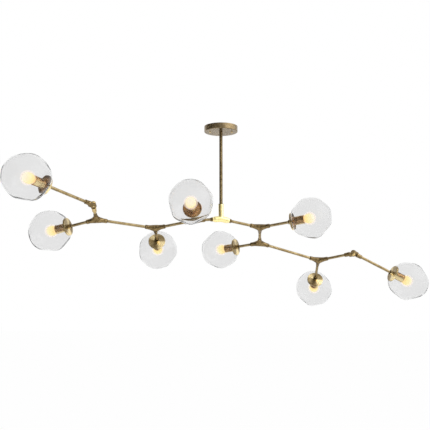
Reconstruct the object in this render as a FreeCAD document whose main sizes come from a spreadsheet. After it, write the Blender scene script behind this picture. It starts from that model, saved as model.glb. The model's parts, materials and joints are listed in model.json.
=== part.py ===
"""Branch chandelier: eight blown glass bubbles on swivelling arms below a round ceiling canopy.

Frame: +Z up, +X to the right seen from the front, origin at the middle of the ceiling plane.
Every sub-part is built in a frame of its own and then placed along the branch that carries it.
All lengths are millimetres and all angles degrees.
"""
import FreeCAD, Part
import math
import os
import re

from FreeCAD import Placement, Rotation, Vector

SIZES = {
    # ceiling parts
    "canopy_radius": 60, "canopy_depth": 20, "canopy_wall": 1.5, "canopy_edge": 2,
    "canopy_screw_spacing": 78, "canopy_screw_radius": 2, "canopy_screw_head": 3.6,
    "canopy_screw_head_rise": 1.8, "bracket_length": 100, "bracket_width": 22,
    "bracket_thickness": 2.5, "ceiling_hole_spacing": 56, "ceiling_hole_radius": 2.5,
    "locknut_across": 16, "locknut_height": 5,
    # stem
    "stem_radius": 6, "stem_bore": 4, "stem_thread_radius": 4.8, "stem_spigot_radius": 4,
    "stem_spigot_length": 12, "stem_upper_length": 174, "hub_drop": 334,
    # hub casting
    "hub_up_length": 53, "hub_up_radius": 9.2, "hub_up_root": 8.4, "hub_body_radius": 10.5,
    "hub_body_reach": 24, "hub_collar_radius": 8.2, "hub_reach": 31,
    "hub_yaw": 13, "hub_left_drop": 4, "hub_right_drop": 11,
    # branch castings
    "cast_core_radius": 10.5, "cast_root_radius": 9.4, "cast_waist_radius": 6.9,
    "cast_waist_reach": 21, "cast_sleeve_radius": 7.6, "cast_reach": 36, "socket_depth": 14,
    # arms
    "arm_radius": 5, "arm_bore": 4, "running_gap": 0.05, "seat_gap": 0.3,
    # knuckles
    "knuckle_radius": 12, "knuckle_half": 8.5, "knuckle_reach": 34, "knuckle_shoulder": 14.5,
    "knuckle_web": 8.5, "pivot_radius": 3, "pivot_head_radius": 6, "pivot_head_rise": 2.6,
    "face_gap": 0.3,
    # cup, lampholder and bulb
    "cup_radius": 31, "cup_height": 6.5, "cup_floor": 2.5, "cup_wall": 2, "cup_edge": 1.2,
    "boss_radius": 8, "boss_length": 10,
    "holder_neck_radius": 7, "holder_neck_length": 7, "holder_radius": 15,
    "holder_wall": 1.5, "holder_length": 44, "holder_recess": 10, "holder_seat": 14,
    "cap_radius": 7, "cap_gap": 0.3, "bulb_radius": 22.5, "bulb_centre": 49,
    "bulb_flare_radius": 12, "bulb_flare_length": 10,
    # blown glass
    "shade_radius": 74, "shade_wall": 3, "shade_centre": 64, "shade_neck_radius": 28.5,
    "shade_neck_gap": 0.5, "shade_neck_wall": 3, "back_flat_radius": 160, "back_flat_depth": 8,
    "dent_radius": 112, "dent_depth": 4,
    # left branch: reach from the casting before, turn about that arm, bend of the casting
    "left_1_reach": 95, "left_1_turn": -76, "left_1_bend": 27, "left_1_lamp": 131,
    "left_2_reach": 148, "left_2_turn": -165, "left_2_bend": 37, "left_2_lamp": 97,
    "left_3_reach": 209, "left_3_turn": -174, "left_3_bend": 36, "left_3_lamp": 111,
    "left_end_reach": 80, "left_end_turn": -166, "left_end_fold": 42, "left_end_lamp": 193,
    # right branch
    "right_1_reach": 147, "right_1_turn": 62, "right_1_bend": 40, "right_1_lamp": 124,
    "right_2_reach": 105, "right_2_turn": -177, "right_2_bend": 47, "right_2_lamp": 103,
    "right_3_reach": 248, "right_3_turn": 175, "right_3_bend": 47, "right_3_lamp": 139,
    "right_end_reach": 137, "right_end_turn": -17, "right_end_fold": 49, "right_end_lamp": 176,
}
LAMPS = ("left_1", "left_2", "left_3", "left_end", "right_1", "right_2", "right_3", "right_end")
# how far each bubble is spun about its own arm, so that no two show the same side
SPIN_STEP = 47
# each dent of a bubble: angle from the arm, angle round the arm, share of the dent depth
DENTS = ((14, 0, 1.0), (72, 25, 0.8), (95, 150, 1.0), (64, 262, 0.7))

doc = FreeCAD.newDocument("branch_chandelier")
sheet = doc.addObject("Spreadsheet::Sheet", "dim")
for row, (alias, value) in enumerate(SIZES.items(), start=1):
    sheet.set("A%d" % row, alias)
    sheet.set("B%d" % row, str(value))
    sheet.setAlias("B%d" % row, alias)
doc.recompute()


def size(alias):
    """One driving dimension, read back from the sheet."""
    return float(getattr(sheet, alias))


def formula(text):
    """The text of an expression, with every alias pointed at the sheet."""
    return re.sub(r"[a-z][a-z_0-9]*", lambda m: "dim." + m.group() if m.group() in SIZES
                  else m.group(), text)


def value(text):
    """The number that such an expression has now."""
    return float(sheet.evalExpression(formula(text)))


def make(kind, name, **sizes):
    """A Part object whose sizes follow the sheet."""
    item = doc.addObject(kind, name)
    for key, text in sizes.items():
        item.setExpression(key, formula(text))
    return item


def aim(angle, reach=0.0):
    """A frame whose +Z leans by angle in the XZ plane, moved out by reach along it."""
    turn = Rotation(Vector(0, 1, 0), angle)
    return Placement(turn.multVec(Vector(0, 0, reach)), turn)


def bar(name, angle, start, length, radius, far_radius=None):
    """A round bar or taper along the direction that aim gives."""
    if far_radius is None:
        item = make("Part::Cylinder", name, Radius=radius, Height=length)
    else:
        item = make("Part::Cone", name, Radius1=radius, Radius2=far_radius, Height=length)
    item.Placement = aim(angle, value(start))
    return item


def fuse(name, items):
    """One solid from several that overlap."""
    item = doc.addObject("Part::MultiFuse", name)
    item.Shapes = items
    item.Refine = True
    return item


def cut(name, base, tool):
    """Base less tool."""
    item = doc.addObject("Part::Cut", name)
    item.Base = base
    item.Tool = tool
    return item


def common(name, items):
    """What several solids share."""
    item = doc.addObject("Part::MultiCommon", name)
    item.Shapes = items
    return item


def plane(body, role):
    """One of a body's own origin planes."""
    return next(f for f in body.Origin.OriginFeatures if f.Role == role)


def sketch_on(body, name, role):
    """An empty sketch on one of the body's origin planes."""
    item = body.newObject("Sketcher::SketchObject", name)
    item.AttachmentSupport = (plane(body, role), [""])
    item.MapMode = "FlatFace"
    return item


def tie(item, geo, point, along, text):
    """Hold one point of a sketch at the distance from the origin that an expression gives."""
    if text == "0":
        axis = -2 if along == "X" else -1
        item.addConstraint(Sketcher.Constraint("PointOnObject", geo, point, axis))
        return
    row = item.addConstraint(Sketcher.Constraint("Distance" + along, -1, 1, geo, point, value(text)))
    item.setExpression("Constraints[%d]" % row, formula(text))


def outline(body, name, role, corners):
    """A closed outline of straight edges whose corners are pairs of expressions."""
    item = sketch_on(body, name, role)
    points = [Vector(value(x), value(y), 0) for x, y in corners]
    ends = points[1:] + points[:1]
    for start, end in zip(points, ends):
        item.addGeometry(Part.LineSegment(start, end), False)
    count = len(corners)
    for i in range(count):
        item.addConstraint(Sketcher.Constraint("Coincident", i, 2, (i + 1) % count, 1))
    for i, (x, y) in enumerate(corners):
        tie(item, i, 1, "X", x)
        tie(item, i, 1, "Y", y)
    return item


def circles(body, name, role, radius, centres):
    """A sketch of equal circles."""
    item = sketch_on(body, name, role)
    for i, (x, y) in enumerate(centres):
        middle = Vector(value(x), value(y), 0)
        item.addGeometry(Part.Circle(middle, Vector(0, 0, 1), value(radius)), False)
        tie(item, i, 3, "X", x)
        tie(item, i, 3, "Y", y)
        row = item.addConstraint(Sketcher.Constraint("Radius", i, value(radius)))
        item.setExpression("Constraints[%d]" % row, formula(radius))
    return item


def revolve(name, corners):
    """A body turned about its Z axis from a radius and height outline."""
    body = doc.addObject("PartDesign::Body", name)
    profile = outline(body, name + "_profile", "XZ_Plane", corners)
    turned = body.newObject("PartDesign::Revolution", name + "_turned")
    turned.Profile = profile
    turned.ReferenceAxis = (profile, ["V_Axis"])
    turned.Angle = 360
    profile.Visibility = False
    doc.recompute()
    return body


def round_edges(body, name, radius, chosen):
    """Fillet the edges of the body's tip that the test picks."""
    tip = body.Tip
    edges = ["Edge%d" % (i + 1) for i, edge in enumerate(tip.Shape.Edges) if chosen(edge)]
    item = body.newObject("PartDesign::Fillet", name)
    item.Base = (tip, edges)
    item.setExpression("Radius", formula(radius))
    doc.recompute()
    return item


def drill(body, name, role, radius, centres, reverse):
    """Cut round holes right through the body."""
    before = body.Shape.Volume
    item = body.newObject("PartDesign::Pocket", name)
    item.Profile = circles(body, name + "_circles", role, radius, centres)
    item.Type = 1
    item.Reversed = reverse
    doc.recompute()
    assert body.Shape.Volume < before - 1, name + " cut nothing"
    return item


def ring_at(edge, radius, height):
    """True for a full circle of that radius at that height."""
    if not isinstance(edge.Curve, Part.Circle):
        return False
    flat = abs(edge.CenterOfMass.z - height) < 0.01
    return flat and abs(edge.Curve.Radius - radius) < 0.01


def screw(name, shank_radius, shank_length, head_radius, head_rise):
    """A round-headed screw: head below the XY plane, shank above it."""
    shank = make("Part::Cylinder", name + "_shank", Radius=shank_radius, Height=shank_length)
    head = make("Part::Cone", name + "_head", Radius1=head_radius + " * 0.75",
                Radius2=head_radius, Height=head_rise)
    head.Placement = Placement(Vector(0, 0, -value(head_rise)), Rotation())
    return fuse(name, [shank, head])


def finish(item, label, frame):
    """Give a sub-part its own name and its place in the whole."""
    item.Label = label
    item.Placement = frame
    PARTS.append(item)


PARTS = []


# --- ceiling parts -------------------------------------------------------------------------

def make_canopy():
    """A shallow spun cup, open to the ceiling, pierced for the stem and two screws."""
    body = revolve("canopy", [
        ("stem_thread_radius + seat_gap", "0"),
        ("canopy_radius", "0"),
        ("canopy_radius", "canopy_depth"),
        ("canopy_radius - canopy_wall", "canopy_depth"),
        ("canopy_radius - canopy_wall", "canopy_wall"),
        ("stem_thread_radius + seat_gap", "canopy_wall"),
    ])
    outer = size("canopy_radius")
    round_edges(body, "canopy_round", "canopy_edge", lambda e: ring_at(e, outer, 0))
    half = "canopy_screw_spacing / 2"
    drill(body, "canopy_holes", "XY_Plane", "canopy_screw_radius + seat_gap",
          [(half, "0"), ("0 - " + half, "0")], True)
    finish(body, "canopy", Placement(Vector(0, 0, -size("canopy_depth")), Rotation()))


def make_bracket():
    """The flat bar screwed to the ceiling, tapped for the stem and the canopy screws."""
    body = doc.addObject("PartDesign::Body", "bracket")
    length = "bracket_length / 2"
    width = "bracket_width / 2"
    bar_outline = outline(body, "bracket_outline", "XY_Plane", [
        ("0 - " + length, "0 - " + width), (length, "0 - " + width),
        (length, width), ("0 - " + length, width)])
    pad = body.newObject("PartDesign::Pad", "bracket_pad")
    pad.Profile = bar_outline
    pad.setExpression("Length", formula("bracket_thickness"))
    doc.recompute()
    drill(body, "bracket_centre", "XY_Plane", "stem_thread_radius + running_gap",
          [("0", "0")], True)
    half = "canopy_screw_spacing / 2"
    drill(body, "bracket_tapped", "XY_Plane", "canopy_screw_radius + running_gap",
          [(half, "0"), ("0 - " + half, "0")], True)
    half = "ceiling_hole_spacing / 2"
    drill(body, "bracket_holes", "XY_Plane", "ceiling_hole_radius",
          [(half, "0"), ("0 - " + half, "0")], True)
    finish(body, "ceiling_bracket",
           Placement(Vector(0, 0, -size("bracket_thickness")), Rotation()))


def make_canopy_screws():
    """Two round-headed screws that clamp the canopy up against the bracket."""
    screws = []
    for side in (1, -1):
        item = screw("canopy_screw_%d" % (side + 2), "canopy_screw_radius", "canopy_depth",
                     "canopy_screw_head", "canopy_screw_head_rise")
        item.Placement = Placement(Vector(side * value("canopy_screw_spacing / 2"), 0, 0),
                                   Rotation())
        screws.append(item)
    pair = doc.addObject("Part::Compound", "canopy_screws")
    pair.Links = screws
    finish(pair, "canopy_screws", Placement(Vector(0, 0, -size("canopy_depth")), Rotation()))


def make_locknut():
    """The hexagon nut inside the canopy that pulls the stem's shoulder up against it."""
    nut = make("Part::Prism", "locknut_blank", Circumradius="locknut_across / 2 / cos(30)",
               Height="locknut_height")
    nut.Polygon = 6
    hole = make("Part::Cylinder", "locknut_hole", Radius="stem_thread_radius + running_gap",
                Height="locknut_height")
    height = value("canopy_wall - canopy_depth")
    finish(cut("locknut", nut, hole), "locknut", Placement(Vector(0, 0, height), Rotation()))


def make_stem():
    """Two tubes: the upper ends in the thread held by the locknut, the lower in a spigot."""
    upper = revolve("stem_upper", [
        ("stem_bore", "0"), ("stem_spigot_radius + running_gap", "0"),
        ("stem_radius", "0"), ("stem_radius", "stem_upper_length"),
        ("stem_thread_radius", "stem_upper_length"),
        ("stem_thread_radius", "stem_upper_length + canopy_depth"),
        ("stem_bore", "stem_upper_length + canopy_depth")][1:] + [
        ("stem_bore", "stem_spigot_length + seat_gap"),
        ("stem_spigot_radius + running_gap", "stem_spigot_length + seat_gap")])
    joint = value("0 - canopy_depth - stem_upper_length")
    finish(upper, "stem_upper", Placement(Vector(0, 0, joint), Rotation()))
    low = "hub_drop - hub_up_length + socket_depth - canopy_depth - stem_upper_length"
    wall = "stem_bore - 1"
    lower = revolve("stem_lower", [
        (wall, "0"), ("stem_radius", "0"), ("stem_radius", low),
        ("stem_spigot_radius", low), ("stem_spigot_radius", low + " + stem_spigot_length"),
        (wall, low + " + stem_spigot_length")])
    finish(lower, "stem_lower", Placement(Vector(0, 0, joint - value(low)), Rotation()))


# --- castings ------------------------------------------------------------------------------

def sockets(name, blank, ends, radius="arm_radius"):
    """Bore a blank from the end of each of its sleeves."""
    for i, (angle, reach) in enumerate(ends):
        hole = bar("%s_socket_%d" % (name, i), angle, reach + " - socket_depth",
                   "socket_depth + 1", radius[i] if isinstance(radius, tuple) else radius)
        blank = cut("%s_bored_%d" % (name, i), blank, hole)
    return blank


def make_hub(frame):
    """The polished tee under the stem: one long sleeve up, one short arm to each branch."""
    left = -(90 + size("hub_left_drop"))
    right = 90 + size("hub_right_drop")
    items = [make("Part::Sphere", "hub_core", Radius="hub_body_radius")]
    items.append(bar("hub_up", 0, "0", "hub_up_length", "hub_up_root", "hub_up_radius"))
    for side, angle in (("left", left), ("right", right)):
        items.append(bar("hub_body_" + side, angle, "0", "hub_body_reach", "hub_body_radius"))
        items.append(bar("hub_collar_" + side, angle, "0", "hub_reach", "hub_collar_radius"))
    blank = fuse("hub_blank", items)
    ends = [(0, "hub_up_length"), (left, "hub_reach"), (right, "hub_reach")]
    arm = "arm_radius + running_gap"
    finish(sockets("hub", blank, ends, ("stem_radius + running_gap", arm, arm)), "hub", frame)


def make_casting(name, angles, frame):
    """A three-armed casting: each arm narrows to a waist and swells again to a sleeve."""
    items = [make("Part::Sphere", name + "_core", Radius="cast_core_radius")]
    for i, angle in enumerate(angles):
        items.append(bar("%s_root_%d" % (name, i), angle, "0", "cast_waist_reach",
                         "cast_root_radius", "cast_waist_radius"))
        items.append(bar("%s_sleeve_%d" % (name, i), angle, "cast_waist_reach",
                         "cast_reach - cast_waist_reach", "cast_sleeve_radius"))
    blank = fuse(name + "_blank", items)
    ends = [(angle, "cast_reach") for angle in angles]
    finish(sockets(name, blank, ends, "arm_radius + running_gap"), name, frame)


def make_knuckle_half(name, side, angle, frame):
    """One half of a half-lap knuckle: a flat disc on one side of the lap plane and a sleeve."""
    # built along +Z with the lap plane at Y = 0, then leaned by angle
    disc = make("Part::Cylinder", name + "_disc", Radius="knuckle_radius",
                Height="knuckle_half - face_gap / 2")
    web = make("Part::Box", name + "_web", Length="knuckle_web * 2",
               Width="knuckle_half - face_gap / 2", Height="knuckle_shoulder + 4")
    inner = value("face_gap / 2")
    if side > 0:
        disc.Placement = Placement(Vector(0, size("knuckle_half"), 0),
                                   Rotation(Vector(1, 0, 0), 90))
        web.Placement = Placement(Vector(-size("knuckle_web"), inner, 0), Rotation())
    else:
        disc.Placement = Placement(Vector(0, -inner, 0), Rotation(Vector(1, 0, 0), 90))
        web.Placement = Placement(Vector(-size("knuckle_web"), -size("knuckle_half"), 0),
                                  Rotation())
    sleeve = bar(name + "_sleeve", 0, "knuckle_shoulder", "knuckle_reach - knuckle_shoulder",
                 "cast_sleeve_radius + 1", "cast_sleeve_radius")
    blank = fuse(name + "_blank", [disc, web, sleeve])
    blank = sockets(name, blank, [(0, "knuckle_reach")], "arm_radius + running_gap")
    pin = make("Part::Cylinder", name + "_pin_hole", Radius="pivot_radius + running_gap",
               Height="knuckle_half * 2 + 2")
    pin.Placement = Placement(Vector(0, size("knuckle_half") + 1, 0), Rotation(Vector(1, 0, 0), 90))
    finish(cut(name, blank, pin), name, frame * aim(angle))


def make_pivot(name, frame):
    """The pivot screw through both halves of a knuckle, its head on the -Y side."""
    item = screw(name, "pivot_radius", "knuckle_half * 2 - 1", "pivot_head_radius",
                 "pivot_head_rise")
    seat = Placement(Vector(0, -size("knuckle_half"), 0), Rotation(Vector(1, 0, 0), -90))
    finish(item, name, frame * seat)


# --- arms ----------------------------------------------------------------------------------

def make_arms(name, runs):
    """The straight tubes that one casting carries: (frame, start, end) along the frame's +Z."""
    tubes = []
    for i, (frame, start, end) in enumerate(runs):
        length = "(%s) - (%s)" % (end, start)
        skin = make("Part::Cylinder", "%s_skin_%d" % (name, i), Radius="arm_radius",
                    Height=length)
        hole = make("Part::Cylinder", "%s_hole_%d" % (name, i), Radius="arm_bore",
                    Height=length)
        tube = cut("%s_tube_%d" % (name, i), skin, hole)
        tube.Placement = frame * Placement(Vector(0, 0, value(start)), Rotation())
        tubes.append(tube)
    group = doc.addObject("Part::Compound", name)
    group.Links = tubes
    finish(group, name, Placement())


# --- lamps ---------------------------------------------------------------------------------

def make_cup(name, frame):
    """The turned dish that carries the bubble, with a boss behind it for the arm."""
    bore = "arm_radius + running_gap"
    floor = "boss_length + cup_floor"
    rim = "boss_length + cup_height"
    body = revolve(name, [
        (bore, "0"), ("boss_radius", "0"), ("boss_radius", "boss_length"),
        ("cup_radius", "boss_length"), ("cup_radius", rim), ("cup_radius - cup_wall", rim),
        ("cup_radius - cup_wall", floor), (bore, floor)])
    outer = size("cup_radius")
    height = size("boss_length")
    round_edges(body, name + "_round", "cup_edge", lambda e: ring_at(e, outer, height))
    shift = -value("boss_length + cup_height")
    finish(body, name, frame * Placement(Vector(0, 0, shift), Rotation()))


def make_holder(name, frame):
    """The lampholder: a narrow foot on the dish and a sleeve, recessed round the bulb."""
    bore = "cap_radius + cap_gap"
    recess = "holder_length - holder_recess"
    inner = "holder_radius - holder_wall"
    body = revolve(name, [
        ("0", "0"), ("holder_neck_radius", "0"), ("holder_neck_radius", "holder_neck_length"),
        ("holder_radius", "holder_neck_length + holder_wall"), ("holder_radius", "holder_length"),
        (inner, "holder_length"), (inner, recess), (bore, recess),
        (bore, "holder_seat"), ("0", "holder_seat")])
    shift = value("cup_floor - cup_height")
    finish(body, name, frame * Placement(Vector(0, 0, shift), Rotation()))


def make_bulb(name, frame):
    """A round bulb: screw cap, short flare and ball."""
    cap_length = "holder_length - holder_recess - holder_seat"
    cap = make("Part::Cylinder", name + "_cap", Radius="cap_radius", Height="bulb_centre / 2")
    flare = bar(name + "_flare", 0, cap_length, "bulb_flare_length", "cap_radius",
                "bulb_flare_radius")
    ball = make("Part::Sphere", name + "_ball", Radius="bulb_radius")
    ball.Placement = Placement(Vector(0, 0, size("bulb_centre")), Rotation())
    item = fuse(name, [cap, flare, ball])
    shift = value("cup_floor - cup_height + holder_seat")
    finish(item, name, frame * Placement(Vector(0, 0, shift), Rotation()))


def bubble(name, inset):
    """A lumpy ball: what several large spheres share, drawn in by inset on every side."""
    middle = Vector(0, 0, size("shade_centre"))
    items = [make("Part::Sphere", name + "_ball", Radius="shade_radius - " + inset)]
    items[0].Placement = Placement(middle, Rotation())
    back = make("Part::Sphere", name + "_back", Radius="back_flat_radius - " + inset)
    lift = value("back_flat_radius - shade_radius + back_flat_depth")
    back.Placement = Placement(middle + Vector(0, 0, lift), Rotation())
    items.append(back)
    for i, (lean, round_arm, share) in enumerate(DENTS):
        dent = make("Part::Sphere", "%s_dent_%d" % (name, i), Radius="dent_radius - " + inset)
        offset = size("dent_radius") - size("shade_radius") + share * size("dent_depth")
        way = Rotation(Vector(0, 0, 1), round_arm) * Rotation(Vector(0, 1, 0), lean)
        dent.Placement = Placement(middle - way.multVec(Vector(0, 0, offset)), Rotation())
        items.append(dent)
    return common(name, items)


def make_shade(name, frame, spin):
    """A blown bubble with a short open neck that stands in the cup."""
    radius = "cup_radius - cup_wall - shade_neck_gap"
    neck_length = "cup_height - cup_floor + shade_centre / 4"
    outer = bubble(name + "_outer", "0")
    inner = bubble(name + "_inner", "shade_wall")
    neck = make("Part::Cylinder", name + "_neck", Radius=radius, Height=neck_length)
    mouth = make("Part::Cylinder", name + "_mouth", Radius=radius + " - shade_neck_wall",
                 Height=neck_length)
    for item in (neck, mouth):
        item.Placement = Placement(Vector(0, 0, value("cup_floor - cup_height")), Rotation())
    skin = fuse(name + "_skin", [outer, neck])
    hollow = fuse(name + "_hollow", [inner, mouth])
    turn = Placement(Vector(), Rotation(Vector(0, 0, 1), spin))
    finish(cut(name, skin, hollow), name, frame * turn)


# --- the branches --------------------------------------------------------------------------

def casting_angles(name, fork=False):
    """The arms of a casting in its own frame: the way in, the way on, and the lamp."""
    side = 90 - size(name + "_bend") / 2
    if fork:
        return {"in": 180, "on": side, "lamp": -side}
    return {"in": 180, "on": -size(name + "_bend"), "lamp": side}


def lamp_run(frame, angle, lamp, start):
    """The arm from a casting to a cup, and the frame of the cup's rim."""
    way = frame * aim(angle)
    end = lamp + "_lamp - cup_height + cup_floor"
    rim = way * Placement(Vector(0, 0, size(lamp + "_lamp")), Rotation())
    return (way, start, end), rim


def next_frame(frame, angle, name):
    """The frame of the casting that follows along an arm."""
    step = Placement(Vector(0, 0, size(name + "_reach")), Rotation(Vector(0, 0, 1),
                                                                   size(name + "_turn")))
    return frame * aim(angle) * step


def make_all():
    """Hang every sub-part from the ceiling outwards."""
    make_canopy()
    make_bracket()
    make_canopy_screws()
    make_locknut()
    make_stem()
    hub = Placement(Vector(0, 0, -size("hub_drop")), Rotation(Vector(0, 0, 1), size("hub_yaw")))
    make_hub(hub)
    start = "cast_reach - socket_depth"
    stop = "_reach - cast_reach + socket_depth - seat_gap"
    knuckle_stop = "_reach - knuckle_reach + socket_depth"
    rims = {}
    hub_runs = []
    for branch, angle in (("left", -(90 + size("hub_left_drop"))),
                          ("right", 90 + size("hub_right_drop"))):
        hub_runs.append((hub * aim(angle), "hub_reach - socket_depth", branch + "_1" + stop))
        frame = hub
        for step in (1, 2, 3):
            name = "%s_%d" % (branch, step)
            frame = next_frame(frame, angle, name)
            angles = casting_angles(name, fork=(name == "right_2"))
            if name == "left_3":
                # here the branch goes on by the side arm, and the lamp takes the straight one
                angles["on"], angles["lamp"] = angles["lamp"], angles["on"]
            if name == "right_1":
                angles["on"], angles["lamp"] = angles["lamp"], angles["on"]
            make_casting("casting_" + name, tuple(angles.values()), frame)
            run, rims[name] = lamp_run(frame, angles["lamp"], name, start)
            angle = angles["on"]
            following = "%s_%d%s" % (branch, step + 1, stop)
            if step == 3:
                following = branch + "_end" + knuckle_stop
            make_arms("arms_" + name, [run, (frame * aim(angle), start, following)])
        name = branch + "_end"
        knuckle = next_frame(frame, angle, name)
        fold = size(name + "_fold")
        make_knuckle_half("knuckle_fixed_" + branch, -1, 180, knuckle)
        make_knuckle_half("knuckle_moving_" + branch, 1, fold, knuckle)
        make_pivot("knuckle_screw_" + branch, knuckle)
        run, rims[name] = lamp_run(knuckle, fold, name, "knuckle_reach - socket_depth")
        make_arms("arm_" + name, [run])
    make_arms("arms_hub", hub_runs)
    for i, lamp in enumerate(LAMPS):
        make_cup("cup_" + lamp, rims[lamp])
        make_holder("holder_" + lamp, rims[lamp])
        make_bulb("bulb_" + lamp, rims[lamp])
        make_shade("shade_" + lamp, rims[lamp], i * SPIN_STEP)


import Sketcher

make_all()
doc.recompute()

broken = [item.Name for item in doc.Objects if "Invalid" in item.State or "Error" in item.State]
assert not broken, "failed: " + ", ".join(broken)
os.makedirs("parts", exist_ok=True)
for item in PARTS:
    shape = item.Shape
    assert not shape.isNull() and shape.isValid() and shape.Solids, item.Label
    shape.exportStep(os.path.join("parts", item.Label + ".step"))
    box = shape.BoundBox
    print("%-22s %9.1f mm3, %d solids, z %.1f to %.1f"
          % (item.Label, shape.Volume, len(shape.Solids), box.ZMin, box.ZMax))
print(len(PARTS), "sub-parts")
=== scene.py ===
# %% [markdown]
# # A branch chandelier in eight blown bubbles
# A thin stem hangs from a round canopy. Two brass branches leave it, and every knot of a branch
# carries one lamp: a turned dish, a lampholder, a round bulb and a hand-blown bubble of glass.
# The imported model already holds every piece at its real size, so this file only dresses it.
# Everything is in metres, with the origin on the ceiling and +Z up.

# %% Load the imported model
import json
import math

import bmesh
import bpy
import numpy as np
from mathutils import Matrix, Vector, noise


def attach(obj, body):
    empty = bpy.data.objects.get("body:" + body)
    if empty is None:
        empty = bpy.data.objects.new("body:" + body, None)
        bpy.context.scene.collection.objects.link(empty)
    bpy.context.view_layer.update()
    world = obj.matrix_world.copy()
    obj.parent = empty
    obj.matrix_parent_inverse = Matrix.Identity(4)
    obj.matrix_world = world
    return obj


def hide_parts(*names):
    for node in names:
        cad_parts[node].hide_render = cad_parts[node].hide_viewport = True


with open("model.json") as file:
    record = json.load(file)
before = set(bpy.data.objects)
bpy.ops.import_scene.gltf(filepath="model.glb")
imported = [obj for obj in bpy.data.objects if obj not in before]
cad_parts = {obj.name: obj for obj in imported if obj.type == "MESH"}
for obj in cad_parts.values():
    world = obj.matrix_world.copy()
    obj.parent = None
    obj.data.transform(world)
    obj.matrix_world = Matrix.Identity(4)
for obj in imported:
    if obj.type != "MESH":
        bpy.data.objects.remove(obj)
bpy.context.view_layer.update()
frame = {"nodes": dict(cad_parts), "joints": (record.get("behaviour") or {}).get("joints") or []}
MM = 0.001
UP = Vector((0, 0, 1))

# %% [markdown]
# The camera stands a little lower than the lamps and looks slightly up, which is why the
# underside of the canopy shows. Its focal length, in image widths, came from how quickly the
# bubbles shrink with distance. An image of 430 by 430 is assumed.

# %% Camera
EYE = Vector((-0.0213, -1.9012, -0.4961))
PITCH = 5.3
IMAGE_WIDTH = 430
FOCAL_WIDTHS = 537.5 / IMAGE_WIDTH
SENSOR_WIDTH = 36
camera = bpy.data.objects.new("camera", bpy.data.cameras.new("camera"))
bpy.context.scene.collection.objects.link(camera)
camera.location = EYE
camera.rotation_euler = (math.radians(90 + PITCH), 0, 0)
camera.data.sensor_width = SENSOR_WIDTH
camera.data.lens = SENSOR_WIDTH * FOCAL_WIDTHS
bpy.context.scene.camera = camera
bpy.context.scene.view_settings.view_transform = "Standard"
print("focal length", round(camera.data.lens, 1), "mm")

# %% [markdown]
# Shader maths is easier to read as Python than as boxes and wires. `Flow` wraps one output
# socket, so that `1 - mask * 0.4` adds the Math nodes by itself, and `Finish` is a material
# with one method that adds any other node: first its settings, then its sockets.

# %% Shader helpers
class Flow:
    """One output socket that can stand in a sum."""

    def __init__(self, finish, socket):
        self.finish = finish
        self.socket = socket

    def maths(self, operation, first, second=0.0):
        return self.finish.node("ShaderNodeMath", {"operation": operation}, {0: first, 1: second})

    def __add__(self, other):
        return self.maths("ADD", self, other)

    __radd__ = __add__

    def __sub__(self, other):
        return self.maths("SUBTRACT", self, other)

    def __rsub__(self, other):
        return self.maths("SUBTRACT", other, self)

    def __mul__(self, other):
        return self.maths("MULTIPLY", self, other)

    __rmul__ = __mul__

    def __truediv__(self, other):
        return self.maths("DIVIDE", self, other)

    def sine(self):
        return self.maths("SINE", self)

    def clamped(self):
        return self.finish.node("ShaderNodeClamp", {}, {"Value": self})

    def over(self, limit):
        return self.maths("GREATER_THAN", self, limit)

    def between(self, low, high):
        """Runs from 0 to 1 while the value runs from low to high."""
        return ((self - low) / (high - low)).clamped()


class Finish:
    """A material built from nodes, with its main shader at hand."""

    def __init__(self, name, tree=None):
        if tree is None:
            self.material = bpy.data.materials.new(name)
            self.material.use_nodes = True
            tree = self.material.node_tree
        self.tree = tree
        self.shader = next((n for n in tree.nodes if n.type == "BSDF_PRINCIPLED"), None)

    def node(self, kind, settings, sockets, output=0):
        node = self.tree.nodes.new(kind)
        for key, setting in settings.items():
            if key == "stops":
                ramp = node.color_ramp
                while len(ramp.elements) < len(setting):
                    ramp.elements.new(0.5)
                for element, (place, colour) in zip(ramp.elements, setting):
                    element.position = place
                    element.color = (*colour, 1)
            else:
                setattr(node, key, setting)
        for key, given in sockets.items():
            self.feed(node.inputs[key], given)
        return Flow(self, node.outputs[output])

    def feed(self, socket, given):
        if isinstance(given, Flow):
            self.tree.links.new(given.socket, socket)
        elif socket.type == "RGBA" and len(given) == 3:
            socket.default_value = (*given, 1)
        else:
            socket.default_value = given

    def set(self, **sockets):
        """Feed the main shader's sockets, named with _ for a space."""
        for key, given in sockets.items():
            self.feed(self.shader.inputs[key.replace("_", " ")], given)

    def place(self):
        return self.node("ShaderNodeTexCoord", {}, {}, output=3)

    def noise(self, scale, detail=3.0, rough=0.55, at=None):
        sockets = {"Vector": at or self.place(), "Scale": scale, "Detail": detail,
                   "Roughness": rough}
        return self.node("ShaderNodeTexNoise", {}, sockets)

    def blend(self, factor, first, second):
        """Two colours mixed by a factor."""
        return self.node("ShaderNodeMix", {"data_type": "RGBA"}, {0: factor, 6: first, 7: second},
                         output=2)

    def vector(self, operation, first, second, output=0):
        return self.node("ShaderNodeVectorMath", {"operation": operation},
                         {0: first, 1: second}, output=output)

    def bump(self, height, strength, depth):
        return self.node("ShaderNodeBump", {}, {"Strength": strength, "Distance": depth,
                                                "Height": height})

    def ray(self, fact):
        """What Light Path says about the ray that is being followed."""
        return self.node("ShaderNodeLightPath", {}, {}, output=fact)


print("shader helpers ready")

# %% [markdown]
# The room is plain: a pale floor well below the lamps and a white world. Rays that come straight
# from the camera, or by way of glass, see the floor as clean white, and every other ray sees a
# floor that takes shadows. A glossy ray sees it white only behind the lamps, so that the far
# side of a bubble stays light and the underside of a tube stays dark.

# %% Floor
FLOOR_Z = -2.4
FLOOR_HALF = 14
FLOOR_WHITE = 0.985
WHITE_FROM, WHITE_TO = 0.2, 1.6  # metres behind the stem


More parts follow.
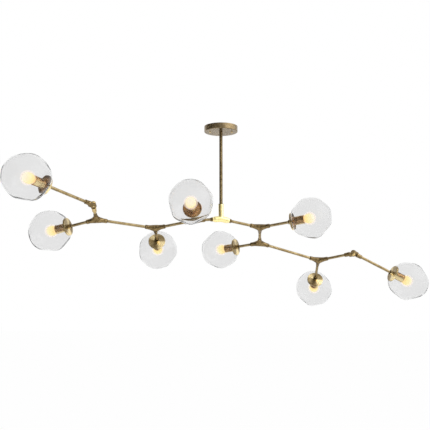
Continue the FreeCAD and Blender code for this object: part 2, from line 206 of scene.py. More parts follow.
def make_floor():
    mesh = bpy.data.meshes.new("floor")
    corners = [(-FLOOR_HALF, -FLOOR_HALF, FLOOR_Z), (FLOOR_HALF, -FLOOR_HALF, FLOOR_Z),
               (FLOOR_HALF, FLOOR_HALF, FLOOR_Z), (-FLOOR_HALF, FLOOR_HALF, FLOOR_Z)]
    mesh.from_pydata(corners, [], [(0, 1, 2, 3)])
    floor = bpy.data.objects.new("floor", mesh)
    bpy.context.scene.collection.objects.link(floor)
    finish = Finish("pale_floor")
    finish.set(Base_Color=(0.86, 0.86, 0.86), Roughness=0.9)
    glow = finish.node("ShaderNodeEmission", {}, {"Color": (1, 1, 1), "Strength": 1.0})
    output = next(n for n in finish.tree.nodes if n.type == "OUTPUT_MATERIAL")
    plain = Flow(finish, finish.shader.outputs[0])
    back = finish.vector("DOT_PRODUCT", finish.place(), (0, 1, 0), output=1)
    mirrored = finish.ray("Is Glossy Ray") * back.between(WHITE_FROM, WHITE_TO)
    direct = finish.ray("Is Camera Ray") + finish.ray("Is Transmission Ray") + mirrored
    both = finish.node("ShaderNodeMixShader", {},
                       {0: direct.clamped() * FLOOR_WHITE, 1: plain, 2: glow})
    finish.feed(output.inputs["Surface"], both)
    mesh.materials.append(finish.material)


make_floor()
print("floor at", FLOOR_Z, "m")

# %% [markdown]
# Metal needs more than white. In a room that is white all round, polished brass turns into flat
# yellow card, so a ray that leaves brass sees a room that is bright at the right and behind the
# lamps and dim at the left, with one soft gleam. That gives each tube its dark side and its
# bright edge. A ray that only bounces inside a wall of glass keeps the white room, because a dim
# one would draw a black line round every bubble. Such a ray has crossed one to three skins of
# glass. A ray straight off brass has crossed none, and one that comes back from brass inside a
# bubble has crossed four.

# %% World
WORLD_LIGHT = 0.42
DIM_SIDE = 0.07
BRIGHT_WAY, BRIGHT_RANGE = (0.84, 0.21, 0.50), (-0.75, 0.60)
GLEAM_WAY, GLEAM_RANGE, GLEAM = (0.80, -0.35, 0.49), (0.78, 0.97), 2.2
BACK_WAY, BACK_RANGE, BACK_LIGHT = (0, 1, 0), (0.30, 0.70), 0.9
INSIDE_SHARE = 0.8


def make_world():
    world = bpy.data.worlds.new("white_room")
    world.use_nodes = True
    bpy.context.scene.world = world
    sky = Finish("white_room", tree=world.node_tree)
    background = next(n for n in world.node_tree.nodes if n.type == "BACKGROUND")
    way = sky.node("ShaderNodeTexCoord", {}, {}, output=0)

    def toward(direction, ends):
        return sky.vector("DOT_PRODUCT", way, direction, output=1).between(*ends)

    room = toward(BRIGHT_WAY, BRIGHT_RANGE) * (1 - DIM_SIDE) + DIM_SIDE
    room = room + (1 - room) * toward(BACK_WAY, BACK_RANGE) * BACK_LIGHT
    room = room + toward(GLEAM_WAY, GLEAM_RANGE) * GLEAM
    skins = sky.ray("Transmission Depth")
    off_brass = (1 - skins.over(0.5)) + skins.over(3.5) * INSIDE_SHARE
    metal = sky.ray("Glossy Depth").over(0.5) * off_brass
    direct = (sky.ray("Is Camera Ray") + sky.ray("Is Transmission Ray")
              + sky.ray("Is Glossy Ray")).clamped()
    seen = direct * (1 - metal) + metal * room
    others = (1 - direct) * (1 - metal) * WORLD_LIGHT
    sky.feed(background.inputs["Color"], (1, 1, 1))
    sky.feed(background.inputs["Strength"], seen + others)


make_world()
print("world light", WORLD_LIGHT)

# %% [markdown]
# Three soft boxes light the brass: a key at the right, a weak fill at the left and a long strip
# above. They aren't mirrored and don't show through glass, so no hard white windows lie on the
# bubbles. What the bubbles mirror is the room alone.

# %% Soft boxes
AIM = Vector((0, 0, -0.36))


def soft_box(name, place, width, height, power):
    light = bpy.data.lights.new(name, "AREA")
    light.shape = "RECTANGLE"
    light.size = width
    light.size_y = height
    light.energy = power
    box = bpy.data.objects.new(name, light)
    bpy.context.scene.collection.objects.link(box)
    box.location = place
    box.rotation_euler = (AIM - Vector(place)).to_track_quat("-Z", "Y").to_euler()
    box.visible_glossy = False
    box.visible_transmission = False


soft_box("key", (2.6, -1.6, 0.9), 1.2, 1.6, 55)
soft_box("fill", (-2.8, -1.8, -0.2), 1.0, 1.6, 10)
soft_box("strip", (0.3, -1.2, 1.9), 2.4, 0.3, 18)
print("soft boxes", [light.name for light in bpy.data.lights])

# %% [markdown]
# Every lamp is a stack of turned pieces on one line, so that line can be read back from the
# model: it runs through the balance points of the dish and of the bulb. `Lamp` keeps that line
# and the point on it where the dish's rim lies.

# %% Find each lamp's own line
LAMPS = ("left_1", "left_2", "left_3", "left_end", "right_1", "right_2", "right_3", "right_end")
START_SIDE = Vector((0.31, -0.52, 0.79))  # no lamp or tube runs this way


def across(line):
    """Two directions square to a line and to each other."""
    side = line.cross(START_SIDE).normalized()
    return side, line.cross(side)


def surface(node):
    """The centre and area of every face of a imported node, and all of its corners."""
    mesh = bpy.data.objects[node].data
    centres = np.empty(len(mesh.polygons) * 3)
    mesh.polygons.foreach_get("center", centres)
    areas = np.empty(len(mesh.polygons))
    mesh.polygons.foreach_get("area", areas)
    corners = np.empty(len(mesh.vertices) * 3)
    mesh.vertices.foreach_get("co", corners)
    return centres.reshape(-1, 3), areas, corners.reshape(-1, 3)


def balance_point(node):
    centres, areas, _ = surface(node)
    return Vector((centres * areas[:, None]).sum(axis=0) / areas.sum())


def along(node, line):
    """The lowest and highest place of a node along a direction."""
    _, _, corners = surface(node)
    reach = corners @ np.array(line)
    return reach.min(), reach.max()


class Lamp:
    """Where one lamp is: the point on its line at the dish's rim, and a frame round the line."""

    def __init__(self, name):
        self.name = name
        start = balance_point("cup_" + name)
        self.line = (balance_point("bulb_" + name) - start).normalized()
        rim = along("cup_" + name, self.line)[1]
        self.rim = start + self.line * (rim - start.dot(self.line))
        self.side, self.up = across(self.line)

    def at(self, sideways, upwards, forwards):
        return self.rim + self.side * sideways + self.up * upwards + self.line * forwards


lamps = {name: Lamp(name) for name in LAMPS}
for lamp in lamps.values():
    print(lamp.name, "points", tuple(round(v, 2) for v in lamp.line))

# %% [markdown]
# Antique brass is not one yellow. The lacquer has browned in soft patches, the polish left fine
# scratches, and the roughness changes with both. One recipe makes all the brass: a light and a
# dark tone, how mottled it is, and how rough. Castings get darker, browner tones than tubes. The
# hub is nearly yellow: a lit copy of the brass, painted light for the strong light that falls on
# it.

# %% Brass recipe
PATCH_EDGES = (0.35, 0.35 + 1 / 3)
SCRATCHES_PER_METRE = 900.0


def brass(name, light, dark, roughness, mottle=60.0):
    finish = Finish(name)
    patches = finish.noise(mottle, detail=4.0)
    fine = finish.noise(SCRATCHES_PER_METRE, detail=2.0, rough=0.7)
    finish.set(Base_Color=finish.blend(patches.between(*PATCH_EDGES), dark, light), Metallic=1.0,
               Roughness=roughness + (patches - 0.5) * 0.22 + (fine - 0.5) * 0.1,
               Normal=finish.bump(fine, 0.12, 0.4 * MM))
    return finish


TUBE_LIGHT, TUBE_DARK = (0.42, 0.325, 0.17), (0.22, 0.155, 0.07)
CAST_LIGHT, CAST_DARK = (0.30, 0.215, 0.10), (0.12, 0.08, 0.033)
tube_brass = brass("tube_brass", TUBE_LIGHT, TUBE_DARK, 0.30)
cast_brass = brass("cast_brass", CAST_LIGHT, CAST_DARK, 0.27, mottle=140.0)
# a lit copy of the brass: the hub's near-yellow is painted light, standing in for the strong
# light on it
hub_brass = brass("hub_brass", (1.0, 0.90, 0.46), (0.98, 0.80, 0.36), 0.24, mottle=90.0)
screw_brass = brass("screw_brass", (0.80, 0.62, 0.30), (0.46, 0.33, 0.14), 0.22)
dark_brass = brass("dark_brass", (0.13, 0.09, 0.045), (0.06, 0.04, 0.02), 0.38)
steel = brass("plated_steel", (0.66, 0.66, 0.64), (0.50, 0.50, 0.49), 0.35)
print("finishes so far", len(bpy.data.materials))

# %% [markdown]
# Dishes, lampholders and the canopy are turned on a lathe, so their finest grooves run in
# circles round their own line. Those circles are what spreads a highlight into the bright and
# dark wedges that a turned disc shows. The distance from the line is worked out in the shader,
# and a sine of it raises the grooves. On dishes and lampholders the bright wedge is also painted:
# a painted highlight, a lighter colour on one side of the line and a fainter one opposite. The
# inner side of a dish, which faces the bulb, is painted copper as painted light from the bulb.

# %% Turned brass
# a painted highlight colour, laid in the two wedges given below
PAINTED_HIGHLIGHT = (0.98, 0.80, 0.44)
# painted light from the bulb: the copper laid on a dish's inner side, with its mask edges and
# share
PAINTED_BULB_LIGHT = (0.62, 0.33, 0.13)
BRIGHT_HIGHLIGHT_WEDGE, FAINT_HIGHLIGHT_WEDGE, FAINT_HIGHLIGHT_SHARE = (0.70, 0.98), (-0.86, -0.99), 0.6
BULB_LIGHT_EDGES, BULB_LIGHT_SHARE = (0.2, 0.6), 0.85


def from_line(finish, start, line):
    """How far each point of a surface lies from a line, and how far along it."""
    offset = finish.vector("SUBTRACT", finish.place(), tuple(start))
    forward = finish.vector("DOT_PRODUCT", offset, tuple(line), output=1)
    aside = finish.vector("CROSS_PRODUCT", offset, tuple(line))
    return finish.vector("LENGTH", aside, (0, 0, 0), output=1), forward


def turned_brass(name, start, line, light=TUBE_LIGHT, dark=TUBE_DARK, groove=0.9 * MM,
                 highlight_way=None):
    """The given direction, square to the line, is where a highlight is painted, with a fainter
    one opposite.
    """
    finish = Finish(name)
    radius, forward = from_line(finish, start, line)
    wobble = finish.noise(45.0, detail=2.0)
    grooves = ((radius + forward * 0.8) * (2 * math.pi / groove) + wobble * 4.0).sine()
    patches = finish.noise(70.0, detail=4.0)
    colour = finish.blend(patches.between(*PATCH_EDGES), dark, light)
    if highlight_way:
        # painted highlight: a lighter colour in a wedge round the given direction, fainter on the
        # far side
        offset = finish.vector("SUBTRACT", finish.place(), tuple(start))
        turn = finish.vector("DOT_PRODUCT", offset, tuple(highlight_way), output=1) / radius
        highlight_mask = turn.between(*BRIGHT_HIGHLIGHT_WEDGE) + turn.between(*FAINT_HIGHLIGHT_WEDGE) * FAINT_HIGHLIGHT_SHARE
        colour = finish.blend(highlight_mask.clamped(), colour, PAINTED_HIGHLIGHT)
        # painted light from the bulb: copper on the faces that look along the line, toward the
        # bulb
        facing = finish.node("ShaderNodeTexCoord", {}, {}, output=1)
        bulb_light_mask = finish.vector("DOT_PRODUCT", facing, tuple(line), output=1).between(*BULB_LIGHT_EDGES)
        colour = finish.blend(bulb_light_mask * BULB_LIGHT_SHARE, colour, PAINTED_BULB_LIGHT)
    finish.set(Base_Color=colour, Metallic=1.0, Roughness=0.20 + patches * 0.12,
               Normal=finish.bump(grooves, 0.5, 0.12 * MM))
    return finish


canopy_brass = turned_brass("canopy_brass", (0, 0, 0), UP, light=(0.33, 0.25, 0.14),
                            dark=(0.20, 0.145, 0.075))
stem_brass = turned_brass("stem_brass", (0, 0, 0), UP, light=(0.24, 0.18, 0.09),
                          dark=(0.14, 0.10, 0.048), groove=0.6 * MM)
print("turned finishes for canopy and stem")

# %% [markdown]
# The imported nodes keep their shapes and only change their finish. `dress` empties a node's
# slots and puts one material in them.

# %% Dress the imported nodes
def dress(node, finish):
    mesh = bpy.data.objects[node].data
    mesh.materials.clear()
    mesh.materials.append(finish.material)


PLAIN = {"canopy": canopy_brass, "stem_upper": stem_brass, "stem_lower": stem_brass,
         "ceiling_bracket": steel, "locknut": steel, "canopy_screws": screw_brass,
         "hub": hub_brass, "knuckle_fixed_left": cast_brass, "knuckle_moving_left": screw_brass,
         "knuckle_fixed_right": cast_brass, "knuckle_moving_right": cast_brass,
         "knuckle_screw_left": screw_brass, "knuckle_screw_right": screw_brass}
for node in frame["nodes"]:
    if node in PLAIN:
        dress(node, PLAIN[node])
    elif node.startswith("casting_"):
        dress(node, cast_brass)
    elif node.startswith("arm"):
        dress(node, tube_brass)
print("dressed the frame, castings and arms")

# %% [markdown]
# Every new piece starts as profiles turned about a line. `lathe` adds one closed shape to a
# bmesh, `add_piece` makes an object of it that rides on a body, and `remade` swaps a piece's
# mesh for what one modifier makes of it, so no modifier is left for later.

# %% Lathe and modifiers
SEGMENTS = 28


def lathe(mesh, start, line, profile, count=SEGMENTS, closed=False):
    """Turn a profile of (radius, distance) about a line, capped or closed on itself."""
    side, up = across(line)
    rings = []
    for radius, distance in profile:
        ring = []
        for i in range(count):
            angle = 2 * math.pi * i / count
            offset = side * (radius * math.cos(angle)) + up * (radius * math.sin(angle))
            ring.append(mesh.verts.new(start + line * distance + offset))
        rings.append(ring)
    pairs = list(zip(rings, rings[1:]))
    if closed:
        pairs.append((rings[-1], rings[0]))
    for low, high in pairs:
        for i in range(count):
            j = (i + 1) % count
            mesh.faces.new((low[i], low[j], high[j], high[i]))
    if not closed:
        mesh.faces.new(list(reversed(rings[0])))
        mesh.faces.new(rings[-1])


def metres(profile):
    return [(radius * MM, distance * MM) for radius, distance in profile]


def add_piece(name, mesh, finish, body, smooth=True):
    """Turn a bmesh into an object that rides on a body."""
    bmesh.ops.recalc_face_normals(mesh, faces=mesh.faces)
    data = bpy.data.meshes.new(name)
    mesh.to_mesh(data)
    mesh.free()
    if smooth:
        data.shade_smooth()
    data.materials.append(finish.material)
    piece = bpy.data.objects.new(name, data)
    bpy.context.scene.collection.objects.link(piece)
    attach(piece, body)
    return piece


def remade(piece, kind, **settings):
    """Leave the piece with the mesh that one modifier makes of it."""
    modifier = piece.modifiers.new(kind.lower(), kind)
    for key, setting in settings.items():
        setattr(modifier, key, setting)
    bpy.context.view_layer.update()
    shaped = piece.evaluated_get(bpy.context.evaluated_depsgraph_get())
    data = bpy.data.meshes.new_from_object(shaped)
    piece.modifiers.clear()
    old = piece.data
    piece.data = data
    bpy.data.meshes.remove(old)


print("lathe turns", SEGMENTS, "sides")

# %% [markdown]
# A branch casting is one piece of brass poured into a three-armed mould and filed smooth, so
# nothing on it has a hard inside corner. Three tapered limbs, a ball and a short brace across
# each fork are built as separate closed shapes, a voxel remesh joins them into one skin, and a
# smoothing that is strongest near the middle melts the joints into webs. The ends of the
# sleeves keep their turned size, because the smoothing fades out before it reaches them. One
# leg of each casting is slimmer than the other two. Last, a fine noise roughens the skin like
# sand, most near the middle.

# %% Blended castings
CAST_VOXEL = 0.85 * MM
CORE_RADIUS = 12.4 * MM
BRACE_RADIUS, BRACE_OUT = 5.4, 19  # millimetres
STRAIGHT_ON = -0.8  # two limbs this nearly in line need no brace
SOFT_TO, FIRM_FROM, MELT_PASSES = 17 * MM, 26 * MM, 18
SAND_HEIGHT, SAND_REACH = 0.35 * MM, 30 * MM
COARSE_SAND, FINE_SAND = 240.0, 520.0
SLEEVE_END, LEG_END = 36, 33
SLEEVE = [(12.6, 0), (11.2, 8), (8.9, 18), (7.7, 25), (7.7, 35.4), (7.2, SLEEVE_END)]
SLIM_LEG = [(12.0, 0), (10.2, 9), (7.6, 20), (6.4, 28), (6.0, 32.6), (5.7, LEG_END)]


def melt(piece, centre):
    """Smooth a piece near a point, and less and less further out."""
    soft = piece.vertex_groups.new(name="soft")
    for vertex in piece.data.vertices:
        distance = (vertex.co - centre).length
        weight = min(1.0, max(0.0, (FIRM_FROM - distance) / (FIRM_FROM - SOFT_TO)))
        soft.add([vertex.index], weight, "REPLACE")
    remade(piece, "SMOOTH", factor=0.6, iterations=MELT_PASSES, vertex_group="soft")
    piece.vertex_groups.clear()
    piece.data.shade_smooth()


def roughen(piece, centre):
    for vertex in piece.data.vertices:
        sand = noise.noise(vertex.co * COARSE_SAND) + 0.5 * noise.noise(vertex.co * FINE_SAND)
        near = max(0.0, 1 - (vertex.co - centre).length / SAND_REACH)
        vertex.co += vertex.normal * (SAND_HEIGHT * sand * near)


def make_casting(name, centre, limbs):
    """Limbs are pairs of direction and profile. A brace crosses each fork between them."""
    mesh = bmesh.new()
    for way, profile in limbs:
        lathe(mesh, centre, way, metres(profile))
    bmesh.ops.create_icosphere(mesh, subdivisions=3, radius=CORE_RADIUS,
                               matrix=Matrix.Translation(centre))
    for i, (one, _) in enumerate(limbs):
        for other, _ in limbs[i + 1:]:
            if one.dot(other) > STRAIGHT_ON:
                start = centre + one * BRACE_OUT * MM
                step = centre + other * BRACE_OUT * MM - start
                lathe(mesh, start, step.normalized(),
                      [(BRACE_RADIUS * MM, 0), (BRACE_RADIUS * MM, step.length)])
    piece = add_piece("cast_" + name, mesh, cast_brass, name)
    remade(piece, "REMESH", mode="VOXEL", voxel_size=CAST_VOXEL)
    melt(piece, centre)
    roughen(piece, centre)
    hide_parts("casting_" + name)
    print(piece.name, len(piece.data.polygons), "faces")


HUB = Vector((0, 0, -0.334))
knots = {joint["child"]: Vector(joint["pos_m"]) for joint in frame["joints"]}
NEXT = {"left_1": "left_2", "left_2": "left_3", "left_3": "left_end",
        "right_1": "right_2", "right_2": "right_3", "right_3": "right_end"}
SLIM = {"left_1": "lamp", "left_2": "lamp", "left_3": "on", "right_1": "on", "right_2": "in",
        "right_3": "lamp"}
limb_ways = {}
for name, following in NEXT.items():
    before = next((knot for knot, after in NEXT.items() if after == name), None)
    centre = knots[name]
    limb_ways[name] = {"in": ((knots[before] if before else HUB) - centre).normalized(),
                       "on": (knots[following] - centre).normalized(),
                       "lamp": lamps[name].line}
    make_casting(name, centre, [(way, SLIM_LEG if role == SLIM[name] else SLEEVE)
                                for role, way in limb_ways[name].items()])

# %% [markdown]
# The two halves of a knuckle come from the same foundry, so their edges are rounded by the
# same file. Each is a bored disc, a web and a sleeve that a fine voxel remesh joins and a light
# smoothing rounds. The bore leaves room for the pivot screw, and the outer face lies just under
# the screw's head, so that the lamp can fold without the two touching.

# %% Knuckles
LAP_GAP, HALF_THICK = 0.2 * MM, 8.3 * MM
WEB_HALF, WEB_START, WEB_END = 8.2 * MM, 5.2 * MM, 17 * MM
KNUCKLE_VOXEL = 0.6 * MM
# the disc's flat faces lie at the lap gap and at half the knuckle's thickness
HALF_DISC = [(3.4, 0.2), (9.6, 0.2), (10.3, 0.9), (10.3, 7.6), (9.6, 8.3), (3.4, 8.3)]
HALF_SLEEVE = [(8.6, 13.5), (8.4, 17), (7.6, 24), (7.6, 33.4), (7.1, 34)]
pivots = {joint["child"]: Vector(joint["axis"]) for joint in frame["joints"]}


def make_knuckle_half(node, body, end, sleeve, lap, finish):
    """Lap is -1 or 1, the side of the lap plane. Sleeve is the way towards the half's tube."""
    centre = knots[end]
    axis = pivots[end] * lap
    mesh = bmesh.new()
    lathe(mesh, centre, axis, metres(HALF_DISC), closed=True)
    lathe(mesh, centre, sleeve, metres(HALF_SLEEVE))
    square = Matrix((axis.cross(sleeve), axis, sleeve)).transposed()
    middle = centre + axis * (LAP_GAP + HALF_THICK) / 2 + sleeve * (WEB_START + WEB_END) / 2
    sizes = Vector((2 * WEB_HALF, HALF_THICK - LAP_GAP, WEB_END - WEB_START))
    for vertex in bmesh.ops.create_cube(mesh, size=1.0)["verts"]:
        vertex.co = middle + square @ (vertex.co * sizes)
    piece = add_piece(node.replace("knuckle", "lap"), mesh, finish, body)
    remade(piece, "REMESH", mode="VOXEL", voxel_size=KNUCKLE_VOXEL)
    remade(piece, "SMOOTH", factor=0.5, iterations=4)
    piece.data.shade_smooth()
    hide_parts(node)
    print(piece.name, len(piece.data.polygons), "faces")


for branch, inner_finish in (("left", screw_brass), ("right", cast_brass)):
    end = branch + "_end"
    inward = (knots[branch + "_3"] - knots[end]).normalized()
    make_knuckle_half("knuckle_fixed_" + branch, branch + "_3", end, inward, -1, inner_finish)
    make_knuckle_half("knuckle_moving_" + branch, end, end, lamps[end].line, 1, cast_brass)

# %% [markdown]
# The hub is a cast tee too, and keeps its blocky middle. Its near-yellow brass is painted light.
# A copy of the packed hub with its edges eased by the same two modifiers is enough.

# %% Hub
hub_data = bpy.data.objects["hub"].data.copy()
hub_data.materials.clear()
hub_data.materials.append(hub_brass.material)
hub = bpy.data.objects.new("rounded_hub", hub_data)
bpy.context.scene.collection.objects.link(hub)
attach(hub, "frame")
remade(hub, "REMESH", mode="VOXEL", voxel_size=0.8 * MM)
remade(hub, "SMOOTH", factor=0.5, iterations=5)
hub.data.shade_smooth()
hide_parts("hub")
print(hub.name, len(hub.data.polygons), "faces")

# %% [markdown]
# Small rings say how the light was put together. A dark ring closes each sleeve where a tube
# enters it, the hub has a grooved collar at each side, and the stem shows its seam and the mouth
# of the hub below. Each one is a profile turned about the tube it sits on, so one function makes
# them all.

# %% Rings and collars
END_RING = [(4.9, -0.4), (6.9, -0.4), (7.1, 0.0), (6.5, 1.3), (5.4, 1.9), (4.9, 1.9)]
LEG_RING = [(4.9, -0.4), (5.7, -0.4), (5.8, 0.2), (5.5, 1.0), (4.9, 1.2)]
SIDE_COLLAR = [(4.9, 0), (7.6, 0), (7.7, 1.6), (6.6, 2.0), (6.6, 3.0), (7.5, 3.4), (7.3, 5.4),
               (6.3, 5.9), (6.2, 7.6), (5.6, 8.4), (4.9, 8.4)]
STEM_SEAM = [(5.6, -0.9), (6.0, -1.1), (6.35, -0.6), (6.35, 0.6), (6.0, 1.1), (5.6, 0.9)]
STEM_FOOT = [(5.9, -0.4), (9.0, -0.4), (9.3, 0.1), (8.0, 1.3), (6.2, 1.7), (5.9, 1.7)]
SEAM_PLACE, FOOT_PLACE = Vector((0, 0, -0.194)), Vector((0, 0, -0.281))
HUB_REACH = 31


def turned_ring(name, start, line, profile, finish, body):
    mesh = bmesh.new()
    lathe(mesh, start, line, metres(profile), closed=True)
    add_piece(name, mesh, finish, body)


for name, ways in limb_ways.items():
    for role, way in ways.items():
        profile, out = (LEG_RING, LEG_END) if role == SLIM[name] else (END_RING, SLEEVE_END)
        turned_ring("end_ring_%s_%s" % (name, role), knots[name] + way * (out * MM), way, profile,
                    dark_brass, name)
for name in ("left_1", "right_1"):
    way = (knots[name] - HUB).normalized()
    turned_ring("hub_collar_" + name, HUB + way * HUB_REACH * MM, way, SIDE_COLLAR, cast_brass,
                "frame")
turned_ring("stem_seam", SEAM_PLACE, UP, STEM_SEAM, dark_brass, "frame")
turned_ring("stem_foot", FOOT_PLACE, UP, STEM_FOOT, dark_brass, "frame")
print("rings", sum(len(ways) for ways in limb_ways.values()) + 4)

# %% [markdown]
# A headless screw locks each sleeve, and one more holds the canopy. It stands a little proud,
# and the slot is made by sinking the middle row of its top corners.

# %% Set screws
SCREW_TOP, SLOT_HALF, SLOT_DEPTH = 0.6, 0.5, 0.5
LEG_SPOT, SLEEVE_SPOT = (28, 6.2), (30, 7.7)  # how far out, and at what radius
GRUB_PLACE, GRUB_WAY = Vector((-0.0462, -0.0383, -0.011)), Vector((-0.77, -0.638, 0))


def set_screw(name, place, outward, body, radius=1.7):
    mesh = bmesh.new()
    profile = [(radius, -1.0), (radius, 0.35), (radius - 0.3, SCREW_TOP)]
    lathe(mesh, place, outward, metres(profile), count=20)
    side, _ = across(outward)
    for vertex in mesh.verts:
        offset = vertex.co - place
        if offset.dot(outward) > 0.5 * MM and abs(offset.dot(side)) < SLOT_HALF * MM:
            vertex.co -= outward * SLOT_DEPTH * MM
    add_piece(name, mesh, screw_brass, body, smooth=False)


for name, ways in limb_ways.items():
    facing = ways["in"].cross(ways["on"]).normalized()
    facing = facing if facing.y < 0 else -facing
    out, radius = LEG_SPOT if SLIM[name] == "in" else SLEEVE_SPOT
    place = knots[name] + ways["in"] * out * MM + facing * radius * MM
    set_screw("set_screw_" + name, place, facing, name)
set_screw("canopy_grub", GRUB_PLACE, GRUB_WAY, "frame", radius=2.0)
print("set screws", len(limb_ways) + 1)

# %% [markdown]
# A dish is spun from sheet, and its edge is rolled so that it doesn't cut. The lampholder has a
# bead round the bulb and another at its foot, and a dark ring closes the boss behind the dish.
# These are turned rings too, on each lamp's own line. Dish and lampholder each get a turned
# finish of their own, because the grooves have to run round that line.

# %% Dishes, lampholders and beads
# the side on which dishes and lampholders get their painted highlight
PAINTED_HIGHLIGHT_WAY = Vector((0.72, -0.2, -0.66))
HOLDER_FOOT, HOLDER_TOP, BOSS_FOOT = 6.5, 40.0, -16.5
HOLDER_LIGHT, HOLDER_DARK = (0.50, 0.31, 0.14), (0.20, 0.105, 0.042)
DISH_RIM = [(29.6, -0.9), (30.6, -1.5), (31.0, -0.6), (30.9, 0.25), (30.2, 0.55), (29.4, 0.3)]
MOUTH_BEAD = [(13.7, -0.8), (15.0, -2.6), (15.6, -2.2), (15.8, -1.0), (15.4, 0.2), (14.4, 0.6),
              (13.7, 0.2)]
FOOT_BEAD = [(14.6, -0.9), (15.5, -0.6), (15.7, 0.2), (15.5, 1.0), (14.6, 1.3)]
BOSS_RING = [(5.0, -0.6), (7.8, -0.6), (8.5, 0.0), (8.5, 1.2), (7.8, 1.8), (5.0, 1.8)]


def dress_lamp(lamp):
    # the painted highlight's side, square to the lamp's own line
    highlight_way = (PAINTED_HIGHLIGHT_WAY - lamp.line * PAINTED_HIGHLIGHT_WAY.dot(lamp.line)).normalized()
    turned = turned_brass("dish_brass_" + lamp.name, lamp.rim, lamp.line, highlight_way=highlight_way)
    sleeve = turned_brass("holder_brass_" + lamp.name, lamp.rim, lamp.line,
                          light=HOLDER_LIGHT, dark=HOLDER_DARK, highlight_way=highlight_way)
    dress("cup_" + lamp.name, turned)
    dress("holder_" + lamp.name, sleeve)
    for part, profile, forward, finish in (
            ("rolled_rim", DISH_RIM, 0, turned), ("mouth_bead", MOUTH_BEAD, HOLDER_TOP, sleeve),
            ("foot_bead", FOOT_BEAD, HOLDER_FOOT, sleeve),
            ("boss_ring", BOSS_RING, BOSS_FOOT, dark_brass)):
        turned_ring("%s_%s" % (part, lamp.name), lamp.at(0, 0, forward * MM), lamp.line, profile,
                    finish, lamp.name)


for lamp in lamps.values():
    dress_lamp(lamp)
print("dishes and lampholders done")

# %% [markdown]
# A lit opal bulb has a glowing core inside a thin milky skin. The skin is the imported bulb,
# half see-through and faintly pink. The core is a turned drop inside it, yellow near its holder
# and nearly white further out. Its colour follows the distance along the lamp's own line, so
# the glow stays on the bulb from every side.

# %% Lit bulbs
CORE = [(0.5, 37), (8.0, 37.2), (12.0, 42), (15.6, 49), (17.2, 57), (16.6, 64), (13.8, 70),
        (9.0, 74.2), (3.5, 76), (0.4, 76.2)]
CORE_START, CORE_END = 37 * MM, 76 * MM
CORE_GLOW, SKIN_GLOW, SKIN_MILK = 1.05, 0.90, 0.34
CORE_COLOURS = [(0.0, (1.0, 0.52, 0.03)), (0.34, (1.0, 0.84, 0.14)), (0.68, (1.0, 0.92, 0.40)),
                (1.0, (1.0, 0.94, 0.70))]


def bulb_skin(lamp):
    finish = Finish("bulb_skin_" + lamp.name)
    milk = finish.noise(60.0, detail=2.0)
    finish.set(Base_Color=(0.30, 0.25, 0.23), Roughness=0.18 + milk * 0.1, Alpha=SKIN_MILK,
               Emission_Color=finish.blend(milk, (1.0, 0.90, 0.80), (1.0, 0.82, 0.72)),
               Emission_Strength=SKIN_GLOW)
    return finish


def bulb_core(lamp):
    finish = Finish("bulb_core_" + lamp.name)
    _, forward = from_line(finish, lamp.rim, lamp.line)
    colour = finish.node("ShaderNodeValToRGB", {"stops": CORE_COLOURS},
                         {0: forward.between(CORE_START, CORE_END)})
    finish.set(Base_Color=(0.1, 0.08, 0.06), Roughness=0.5, Emission_Color=colour,
               Emission_Strength=CORE_GLOW)
    return finish


for lamp in lamps.values():
    dress("bulb_" + lamp.name, bulb_skin(lamp))
    mesh = bmesh.new()
    lathe(mesh, lamp.rim, lamp.line, metres(CORE))
    add_piece("glow_" + lamp.name, mesh, bulb_core(lamp), lamp.name)
print("bulbs lit", len(lamps))

# %% [markdown]
# A blown bubble is a ball that was pressed and rolled while it was soft, so it has broad flats
# with round shoulders between them. Each flat is a plane at some distance from the middle, and
# a soft minimum of the ball and of all the planes rounds the shoulders. Flats and wobble are
# one formula of the direction, so each bubble only needs its own list of presses. Those that
# shape its outline are listed, and six shallower ones, three in front and three behind, follow
# from a turn of their own.

# %% Flats of each bubble
BALL, MIDDLE = 74 * MM, 64 * MM
SHOULDER = 34  # a higher power gives sharper shoulders
BACK_FLAT = 8.5 * MM
WOBBLE = 1.2 * MM
OUTLINE_LEAN = 0.16
FACE_PRESSES, FACE_TILT = 6, 0.55
FACE_DEPTH, FACE_SPREAD = 4.0, 1.8
LEAST_FACING = 0.2  # flats that face further away than this don't count
# degrees from +X toward +Z, and how deep, in millimetres
PRESSED = {
    "left_end": ((40, 5), (176, 5), (222, 3), (262, 5), (318, 4), (100, 2)),
    "left_3": ((148, 6), (266, 7), (205, 3), (60, 4), (320, 5), (100, 1)),
    "left_1": ((192, 7), (150, 3), (40, 5), (352, 3), (300, 6), (248, 5)),
    "left_2": ((222, 5), (180, 3), (275, 3), (322, 4), (25, 2), (130, 4)),
    "right_1": ((92, 2), (2, 6), (318, 6), (252, 5), (48, 4), (140, 4)),
    "right_2": ((132, 8), (178, 3), (70, 2), (246, 4), (300, 2), (15, 5)),
    "right_3": ((136, 5), (186, 4), (230, 6), (280, 3), (330, 5), (40, 4)),
    "right_end": ((28, 6), (345, 4), (282, 6), (232, 5), (80, 3), (130, 3)),
}


def flats_for(lamp, seed):
    """Each flat is a direction in the lamp's own frame, and how deep the ball was pressed."""
    def local(way):
        way = Vector(way).normalized()
        return Vector((way.dot(lamp.side), way.dot(lamp.up), way.dot(lamp.line)))

    flats = [(-UP, BACK_FLAT)]
    for i, (degrees, depth) in enumerate(PRESSED[lamp.name]):
        angle = math.radians(degrees)
        lean = OUTLINE_LEAN * math.sin(seed * 1.7 + i * 2.4)
        flats.append((local((math.cos(angle), lean, math.sin(angle))), depth * MM))
    for i in range(FACE_PRESSES):
        front = -1 if i < FACE_PRESSES / 2 else 1
        turn = 2.1 * i + seed * 1.1
        depth = FACE_DEPTH + FACE_SPREAD * math.sin(seed * 2.3 + i * 1.7)
        way = (FACE_TILT * math.cos(turn), front, FACE_TILT * math.sin(turn))
        flats.append((local(way), depth * MM))
    return flats


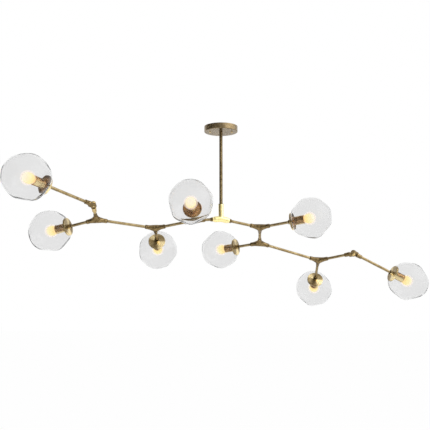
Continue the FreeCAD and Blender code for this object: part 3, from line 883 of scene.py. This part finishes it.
def reach(way, flats, seed):
    """How far the outer skin is from the middle in one direction."""
    total = BALL ** -SHOULDER
    for normal, depth in flats:
        facing = way.dot(normal)
        if facing > LEAST_FACING:
            total += ((BALL - depth) / facing) ** -SHOULDER
    wobble = noise.noise(way * 2.1 + Vector((seed * 5.0, 1.0, 2.0)))
    return total ** (-1 / SHOULDER) - WOBBLE * (0.5 + wobble)


print("presses", sum(len(presses) for presses in PRESSED.values()))

# %% [markdown]
# The wall is real glass with two skins, because one skin alone would bend light like a solid
# ball. Both skins are rings of points from the open neck to the far pole. The wall is thicker
# where the glass was rolled.

# %% Bubble skins
WALL, UNEVEN = 2.0 * MM, 0.45
NECK, NECK_DEPTH = 28.5 * MM, 4 * MM
AROUND, DOWN = 88, 56
FIRST_LEAN = math.asin((NECK + 3 * MM) / (BALL - 6 * MM))


def bubble_rings(flats, seed, wall):
    """Rings of (radius, distance) from the neck to the far pole, a wall inside the outer skin."""
    neck = NECK - wall
    rings = [[(neck, -NECK_DEPTH)] * AROUND, [(neck, -0.5 * MM)] * AROUND]
    for row in range(DOWN):
        lean = FIRST_LEAN + (math.pi - FIRST_LEAN) * (row + 0.35) / DOWN
        ring = []
        for turn in range(AROUND):
            angle = 2 * math.pi * turn / AROUND
            way = Vector((math.sin(lean) * math.cos(angle), math.sin(lean) * math.sin(angle),
                          -math.cos(lean)))
            roll = noise.noise(way * 1.6 + Vector((seed * 3.0, 7.0, 0.0)))
            out = reach(way, flats, seed) - wall * (1 + UNEVEN * roll)
            ring.append((out * math.sin(lean), MIDDLE - out * math.cos(lean)))
        rings.append(ring)
    return rings


def make_bubble(lamp, seed):
    flats = flats_for(lamp, seed)
    mesh = bmesh.new()

    def skin(wall):
        rows = []
        for ring in bubble_rings(flats, seed, wall):
            row = []
            for turn, (radius, forward) in enumerate(ring):
                angle = 2 * math.pi * turn / AROUND
                point = lamp.at(radius * math.cos(angle), radius * math.sin(angle), forward)
                row.append(mesh.verts.new(point))
            rows.append(row)
        return rows

    outside, inside = skin(0.0), skin(WALL)
    walls = list(zip(outside, outside[1:])) + [(b, a) for a, b in zip(inside, inside[1:])]
    walls.append((inside[0], outside[0]))
    for low, high in walls:
        for i in range(AROUND):
            j = (i + 1) % AROUND
            mesh.faces.new((low[i], low[j], high[j], high[i]))
    mesh.faces.new(outside[-1])
    mesh.faces.new(list(reversed(inside[-1])))
    return mesh


print("skins of", AROUND, "by", DOWN, "points")

# %% [markdown]
# The glass is clear with a trace of grey, which four skins add up to the pale disc that each
# bubble is against white. Its index is lower than window glass has. Thin blown walls bend what
# is behind them very little, and a low index shows that without a wall too thin to build. Slow
# waves in the normal keep the surface alive.

# %% Blown glass
GLASS_GREY = 0.88
GLASS_INDEX = 1.22


def blown_glass():
    finish = Finish("blown_glass")
    waves = finish.noise(26.0, detail=2.0)
    finish.set(Base_Color=(GLASS_GREY, GLASS_GREY, GLASS_GREY), Roughness=0.0, IOR=GLASS_INDEX,
               Transmission_Weight=1.0, Normal=finish.bump(waves, 0.25, 2 * MM))
    return finish


glass = blown_glass()
for seed, lamp in enumerate(lamps.values()):
    bubble = add_piece("bubble_" + lamp.name, make_bubble(lamp, seed), glass, lamp.name)
    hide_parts("shade_" + lamp.name)
    print(bubble.name, len(bubble.data.polygons), "faces")
